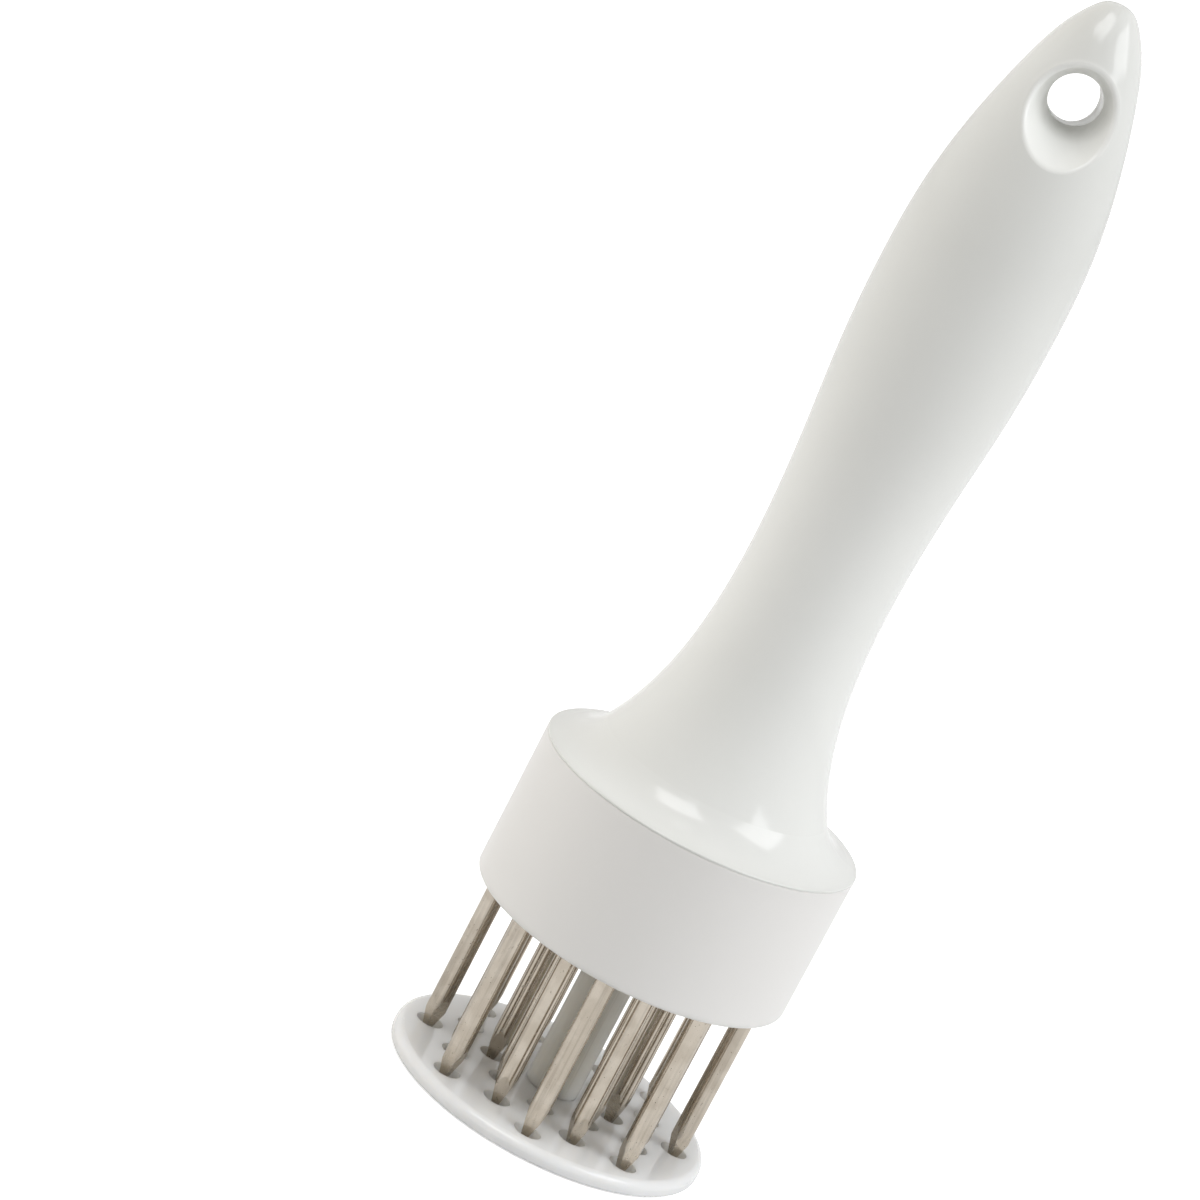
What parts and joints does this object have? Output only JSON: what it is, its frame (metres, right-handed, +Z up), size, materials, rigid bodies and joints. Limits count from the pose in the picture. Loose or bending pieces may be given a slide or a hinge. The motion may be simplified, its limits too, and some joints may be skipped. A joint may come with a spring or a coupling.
{
  "type": "meat tenderizer",
  "caption": "Hand-held needle meat tenderizer: waisted handle with a hang hole over a collar of steel needles, and a sprung foot plate that slides up to bare them.",
  "frame": {"origin": "middle of the foot plate's underside, where the tool stands", "axes": "+Z up the tool's axis towards the handle's tip, hang hole along Y"},
  "size_m": [0.0556, 0.0556, 0.1995],
  "materials": {
    "handle_plastic": "satin moulded white",
    "collar_plastic": "satin moulded white",
    "foot_plastic": "glossy moulded white",
    "post_plastic": "smooth grey-white",
    "carrier_plastic": "moulded white",
    "needle_steel": "drawn stainless wire, ground points",
    "stop_steel": "plain stainless",
    "spring_steel": "drawn spring wire"
  },
  "bodies": {
    "grip": {"handle": "handle_plastic", "collar": "collar_plastic", "needle_plate": "carrier_plastic", "clamp_plate": "carrier_plastic", "return_spring": "spring_steel", "needle_01": "needle_steel", "needle_02": "needle_steel", "needle_03": "needle_steel", "needle_04": "needle_steel", "needle_05": "needle_steel", "needle_06": "needle_steel", "needle_07": "needle_steel", "needle_08": "needle_steel", "needle_09": "needle_steel", "needle_10": "needle_steel", "needle_11": "needle_steel", "needle_12": "needle_steel", "needle_13": "needle_steel", "needle_14": "needle_steel", "needle_15": "needle_steel", "needle_16": "needle_steel", "needle_17": "needle_steel", "needle_18": "needle_steel", "needle_19": "needle_steel", "needle_20": "needle_steel", "needle_21": "needle_steel", "needle_22": "needle_steel", "needle_23": "needle_steel", "needle_24": "needle_steel"},
    "foot": {"foot_plate": "foot_plastic", "guide_post": "post_plastic", "stop_washer": "stop_steel", "stop_screw": "stop_steel"}
  },
  "joints": [
    {"name": "foot_slide", "type": "slide", "parent": "grip", "child": "foot", "axis": [0, 0, 1], "range_m": [0, 0.029], "stiffness_N_per_m": 400, "springref_m": -0.012, "deforming": ["return_spring"]}
  ]
}
